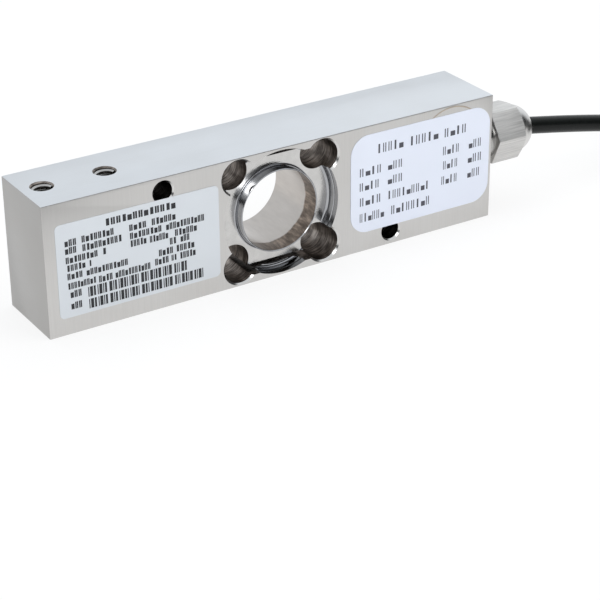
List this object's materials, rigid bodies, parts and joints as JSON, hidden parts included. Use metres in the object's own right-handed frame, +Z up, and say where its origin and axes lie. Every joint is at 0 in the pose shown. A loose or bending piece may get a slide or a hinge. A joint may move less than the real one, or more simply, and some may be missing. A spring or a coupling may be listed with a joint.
{
  "type": "single point load cell",
  "caption": "Stainless rectangular block load cell with a central round opening, four-hole bending beam, welded bore liner, end cable gland and folded cable.",
  "frame": {"origin": "middle of the block's bottom face", "axes": "+X along the block towards the cable gland, -Y towards the labelled face, +Z up, against the load"},
  "size_m": [0.359, 0.053, 0.04],
  "materials": {
    "block_steel": "fine ground stainless steel with polished machined recesses",
    "liner_steel": "thin drawn stainless tube, straw to brown heat tint near its ends",
    "gauge_foil": "amber polyimide backing with foil grid",
    "wire_enamel": "enamelled wire",
    "board_green": "glass-epoxy board",
    "resistor_body": "chip resistor bodies",
    "solder_tin": "tinned posts, pins and strands",
    "cover_steel": "ground stainless disc with weld seam",
    "header_steel": "plated steel eyelet",
    "header_glass": "dark fused glass bead",
    "gland_steel": "turned and ground stainless gland",
    "gland_rubber": "black rubber",
    "jacket_black": "black satin cable jacket",
    "tie_black": "black nylon tie",
    "sleeve_black": "shrink sleeve",
    "core_grey": "insulated cores",
    "lead_green": "green insulation",
    "lead_white": "white insulation",
    "lead_yellow": "yellow insulation",
    "lead_black": "black insulation",
    "lead_red": "red insulation",
    "lead_blue": "blue insulation",
    "type_film": null,
    "wiring_film": null
  },
  "bodies": {
    "root": {"spring_body": "block_steel", "bore_liner": "liner_steel", "strain_gauge_upper_right": "gauge_foil", "strain_gauge_lower_right": "gauge_foil", "strain_gauge_lower_left": "gauge_foil", "strain_gauge_upper_left": "gauge_foil", "gauge_wires": "wire_enamel", "terminal_board": "board_green", "trim_resistors": "resistor_body", "solder_posts": "solder_tin", "pocket_cover": "cover_steel", "header_eyelet": "header_steel", "header_glass": "header_glass", "header_pins": "solder_tin", "cable_cores": "core_grey", "gland_body": "gland_steel", "gland_gasket": "gland_rubber", "gland_seal": "gland_rubber", "gland_nut": "gland_steel", "cable_hank": "jacket_black", "cable": "jacket_black", "cable_tail": "jacket_black", "hank_tie_near": "tie_black", "hank_tie_far": "tie_black", "end_sleeve": "sleeve_black", "lead_green": "lead_green", "lead_white": "lead_white", "lead_yellow_short": "lead_yellow", "lead_yellow_long": "lead_yellow", "lead_black": "lead_black", "lead_red": "lead_red", "lead_blue": "lead_blue", "lead_strands": "solder_tin", "type_label": "type_film", "wiring_label": "wiring_film"}
  },
  "joints": []
}
